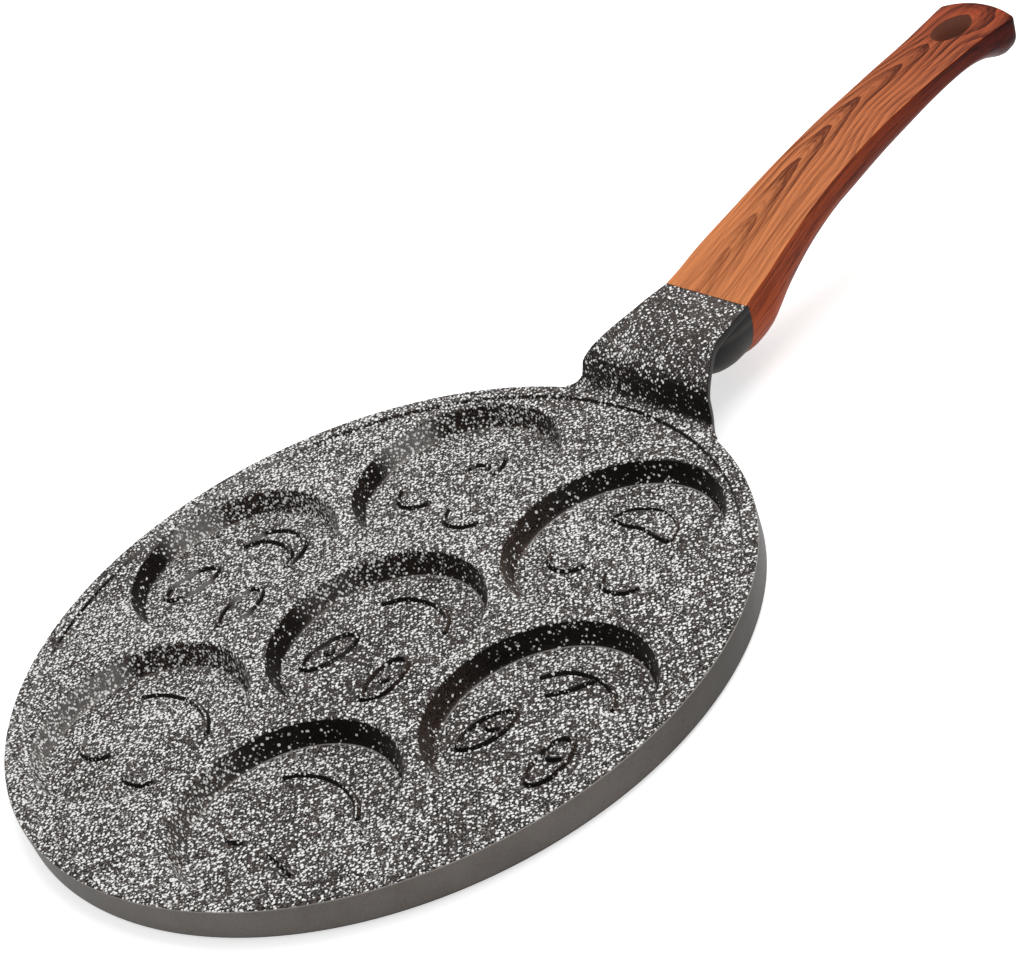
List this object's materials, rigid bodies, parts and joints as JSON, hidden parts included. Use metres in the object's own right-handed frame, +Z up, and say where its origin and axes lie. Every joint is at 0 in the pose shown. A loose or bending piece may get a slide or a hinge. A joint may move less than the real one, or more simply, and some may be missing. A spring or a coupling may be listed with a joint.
{
  "type": "pancake pan",
  "caption": "Round cast pancake pan with shallow round cups, raised smiling faces on their floors and a long wood-look handle with an oval hanging hole.",
  "frame": {"origin": "centre of the flat underside, on the plane that the pan rests on", "axes": "+Z up out of the cups, +X from the centre of the disc along the handle"},
  "size_m": [0.4573, 0.26, 0.0578],
  "materials": {
    "granite_coating": "satin charcoal non-stick coating with fine pale speckles over cast aluminium",
    "base_steel": "brushed stainless steel plate",
    "wood_look_grip": "moulded heat-resistant plastic with an orange-brown wood grain and a satin clear coat",
    "zinc_steel": "bright zinc plate"
  },
  "bodies": {
    "root": {"pan_body": "granite_coating", "base_plate": "base_steel", "handle_grip": "wood_look_grip", "handle_screw": "zinc_steel", "spring_washer": "zinc_steel", "flat_washer": "zinc_steel"}
  },
  "joints": []
}
